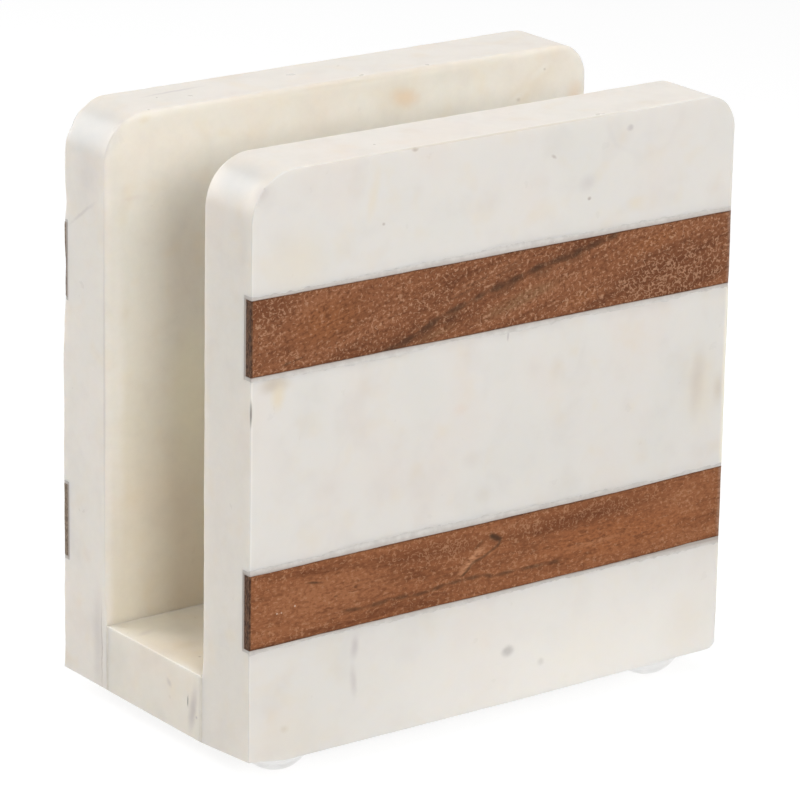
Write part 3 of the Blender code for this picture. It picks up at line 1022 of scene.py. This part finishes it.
def joint(side):
    """Stone-coloured glue between the base and an upright slab, with a faint line beside the slab."""
    glue = Recipe(f"{side}_joint_glue")
    place = glue.place()
    lumps = glue.noise(place, 2, 3, 0.6, 3 + SIDES[side])
    broken = glue.step(glue.noise(place, 5, 2, 0.5, 9 + SIDES[side]), 0.35, 0.62)
    colour = glue.mix(glue.step(lumps, 0.3, 0.7), *GLUE_TONES)
    away = glue.math("ABSOLUTE", glue.axis(place, 1))
    wavy = glue.math("ADD", away, glue.span(lumps, -0.12, 0.12))
    line = glue.step(wavy, INNER - GLUE_LINE_START, INNER - GLUE_LINE_FULL)
    glue.set("Base Color", stain_or_painted_light(glue, colour, glue.math("MULTIPLY", line, broken), 0.45, GLUE_LINE))
    glue.set("Roughness", glue.span(lumps, 0.3, 0.5))
    glue.set("Normal", glue.bump(lumps, 0.3, 0.04))
    return glue.material


def clear_rubber():
    """Clear rubber, a little hazy, that lets the white ground through."""
    rubber = Recipe("clear_rubber")
    haze = rubber.noise(rubber.place(), 3, 3, 0.5)
    rubber.set("Base Color", rubber.mix(haze, *RUBBER_TONES))
    rubber.set("Roughness", rubber.span(haze, 0.05, 0.15))
    rubber.set("IOR", 1.45)
    rubber.set("Transmission Weight", 0.9)
    rubber.set("Alpha", 0.2)
    rubber.set("Normal", rubber.bump(haze, 0.3, 0.03))
    return rubber.material


# Pieces


def upright_slab(side, stone):
    """A slab with its two grooves."""
    slab = slab_blank(f"{side}_slab_stone", side)
    for level in LEVELS:
        carve(slab, groove_cutter(side, level), "DIFFERENCE")
    piece(slab, f"{side}_slab", stone)


def strip_and_filler(side, level, timber, paste):
    """A wooden strip and the filler round it, both trimmed to the slab's own outline."""
    strip = strip_mesh(side, level)
    carve(strip, slab_blank("trim", side, STRIP_TRIM, STRIP_WEAR), "INTERSECT")
    piece(strip, f"{side}_{level}_strip", timber)
    bed = filler_mesh(side, level)
    carve(bed, slab_blank("trim", side, FILLER_SINK), "INTERSECT")
    piece(bed, f"{side}_{level}_strip_epoxy", paste)


def base_slab(stone):
    """The slab between the two upright ones."""
    points = outline(LEFT, BASE_HIGH.x, BOTTOM, BASE_TOP, BASE_RADII, (SMALL_ARC_STEPS,) * 4)

    def easing(x, z):
        return BASE_EASING, BASE_EASING

    base = new_object("base_slab_stone", rounded_plate(points, BASE_LOW.y, BASE_HIGH.y, easing, easing))
    piece(base, "base_slab", stone)


def base_joint(side):
    """Glue that fills the gap between the base and an upright slab."""
    sign = SIDES[side]
    first, last = sorted((sign * INNER, BASE_HIGH.y if sign > 0 else BASE_LOW.y))
    points = outline(
        LEFT + GLUE_INSET, BASE_HIGH.x - GLUE_INSET, BOTTOM + GLUE_INSET, BASE_TOP - GLUE_SINK,
        BASE_RADII, (SMALL_ARC_STEPS,) * 4,
    )

    def easing(x, z):
        return GLUE_INSET, GLUE_INSET

    geometry = rounded_plate(points, first + GLUE_GAP, last - GLUE_GAP, easing, easing)
    glue = new_object(f"{side}_base_joint_glue", geometry)
    piece(glue, f"{side}_base_joint_epoxy", joint(side))


def foot(side, end, rubber):
    """A clear dome, part of a sphere, with a small flat where it touches the table."""
    node = f"{side}_{end}_foot"
    low, high = box(node)
    radius = (high.x - low.x) / 2
    height = high.z - low.z
    center_x = (low.x + high.x) / 2
    center_y = (low.y + high.y) / 2
    rise = (radius**2 - FOOT_CONTACT**2 - height**2) / (2 * height)
    sphere = math.hypot(radius, rise)
    first = math.asin(radius / sphere)
    last = math.asin(FOOT_CONTACT / sphere)
    profile = [(radius - FOOT_LIP, high.z)]
    for step in range(FOOT_STEPS + 1):
        angle = first + (last - first) * step / FOOT_STEPS
        profile.append((sphere * math.sin(angle), high.z + rise - sphere * math.cos(angle)))
    item = new_object(f"{node}_dome", skin(lathe(profile, center_x, center_y, FOOT_SEGMENTS)))
    piece(item, node, rubber, FOOT_SHARP_DEGREES)


# Stage


def shader(tree, kind, **values):
    """A new shader node's output, with these values on its sockets."""
    made = tree.nodes.new(f"ShaderNode{kind}")
    for name, value in values.items():
        made.inputs[name].default_value = value
    return made.outputs[0]


def seen_mix(tree, lit, seen):
    """A shader that the camera, reflections and clear things see brighter than diffuse light does."""
    light_path = tree.nodes.new("ShaderNodeLightPath")
    total = light_path.outputs["Is Camera Ray"]
    for name in ("Is Glossy Ray", "Is Transmission Ray"):
        add = tree.nodes.new("ShaderNodeMath")
        add.operation = "MAXIMUM"
        tree.links.new(total, add.inputs[0])
        tree.links.new(light_path.outputs[name], add.inputs[1])
        total = add.outputs[0]
    blend = tree.nodes.new("ShaderNodeMixShader")
    tree.links.new(total, blend.inputs[0])
    tree.links.new(lit, blend.inputs[1])
    tree.links.new(seen, blend.inputs[2])
    return blend.outputs[0]


def backdrop():
    """White for the camera, and a soft tent of light for the object."""
    world = bpy.data.worlds.new("tent")
    bpy.context.scene.world = world
    world.use_nodes = True
    tree = world.node_tree
    tree.nodes.remove(tree.nodes["Background"])
    tent = shader(tree, "Background", Color=TENT_COLOUR, Strength=TENT_STRENGTH)
    white = shader(tree, "Background", Color=WHITE, Strength=1)
    tree.links.new(seen_mix(tree, tent, white), tree.nodes["World Output"].inputs["Surface"])


def floor():
    """Plain pale floor that keeps the object's shadow and otherwise looks white."""
    geometry = bmesh.new()
    bmesh.ops.create_circle(geometry, cap_ends=True, segments=FLOOR_SEGMENTS, radius=FLOOR_RADIUS)
    item = new_object("floor", geometry)
    material = bpy.data.materials.new("floor")
    material.use_nodes = True
    tree = material.node_tree
    tree.nodes.remove(tree.nodes["Principled BSDF"])
    plain = shader(tree, "BsdfDiffuse", Color=FLOOR_COLOUR)
    both = tree.nodes.new("ShaderNodeAddShader")
    tree.links.new(shader(tree, "BsdfDiffuse", Color=FLOOR_SEEN_COLOUR), both.inputs[0])
    tree.links.new(shader(tree, "Emission", Strength=FLOOR_GLOW), both.inputs[1])
    result = seen_mix(tree, plain, both.outputs[0])
    tree.links.new(result, tree.nodes["Material Output"].inputs["Surface"])
    item.data.materials.append(material)


def around(azimuth, elevation):
    """A place round the object, its azimuth counted from the front towards the right, in degrees."""
    turn = math.radians(azimuth)
    rise = math.radians(elevation)
    level = LAMP_DISTANCE * math.cos(rise)
    return level * math.sin(turn), -level * math.cos(turn), MIDDLE[2] + LAMP_DISTANCE * math.sin(rise)


def softbox(name, place, aim, width, height, power):
    """A flat lamp that looks at a point."""
    lamp = bpy.data.lights.new(name, "AREA")
    lamp.shape = "RECTANGLE"
    lamp.size = width
    lamp.size_y = height
    lamp.energy = power
    item = bpy.data.objects.new(name, lamp)
    item.location = place
    item.rotation_euler = (Vector(aim) - Vector(place)).to_track_quat("-Z", "Y").to_euler()
    bpy.context.scene.collection.objects.link(item)


def lamps():
    """Two soft lamps before the object, one above it and two behind it."""
    # Name, place, aim, width and height in metres, and power in watts
    for lamp in (
        ("key", around(-21, 22), MIDDLE, 0.3, 0.3, 4.5),
        ("fill", around(30, 25), MIDDLE, 0.5, 0.5, 3.9),
        ("overhead", (0.05, -0.1, 0.97), MIDDLE, 0.8, 0.8, 4.4),
        ("left_behind", around(-135, 35), MIDDLE, 0.5, 0.5, 2.3),
        ("behind", (-0.46, 0.84, 0.58), HIGH_AIM, 0.5, 0.84, 6.2),
    ):
        softbox(*lamp)


def camera():
    """The photograph's camera, which looks at AIM from DISTANCE away."""
    data = bpy.data.cameras.new("camera")
    data.lens = LENS
    data.sensor_width = SENSOR
    data.clip_start = CLIP_START
    data.clip_end = CLIP_END
    back = Vector((
        math.sin(AZIMUTH) * math.cos(ELEVATION),
        -math.cos(AZIMUTH) * math.cos(ELEVATION),
        math.sin(ELEVATION),
    ))
    level = Vector((math.cos(AZIMUTH), math.sin(AZIMUTH), 0))
    upright = back.cross(level)
    right = level * math.cos(ROLL) + upright * math.sin(ROLL)
    up = upright * math.cos(ROLL) - level * math.sin(ROLL)
    item = bpy.data.objects.new("camera", data)
    axes = Matrix((right, up, back)).transposed()
    item.matrix_world = Matrix.Translation((Vector(AIM) + back * DISTANCE) * MM) @ axes.to_4x4()
    bpy.context.scene.collection.objects.link(item)
    bpy.context.scene.camera = item


def main():
    camera()
    backdrop()
    floor()
    lamps()

    stones = {
        "front": marble("marble_front", FRONT_MARKS, 1, FRONT_END_STONE, FRONT_EDGE_MARKS),
        "rear": marble("marble_rear", REAR_MARKS, 21, REAR_END_STONE, REAR_EDGE_MARKS),
    }
    timbers = {(side, level): wood(side, level, *look) for side, level, *look in WOODS}
    paste = filler(4)
    for side in SIDES:
        upright_slab(side, stones[side])
        for level in LEVELS:
            strip_and_filler(side, level, timbers[side, level], paste)
        base_joint(side)
    base_slab(marble("marble_base", BASE_MARKS, 41, BASE_END_STONE))
    rubber = clear_rubber()
    for side in SIDES:
        for end in ("left", "right"):
            foot(side, end, rubber)

    bpy.context.scene.view_settings.view_transform = "Standard"


main()
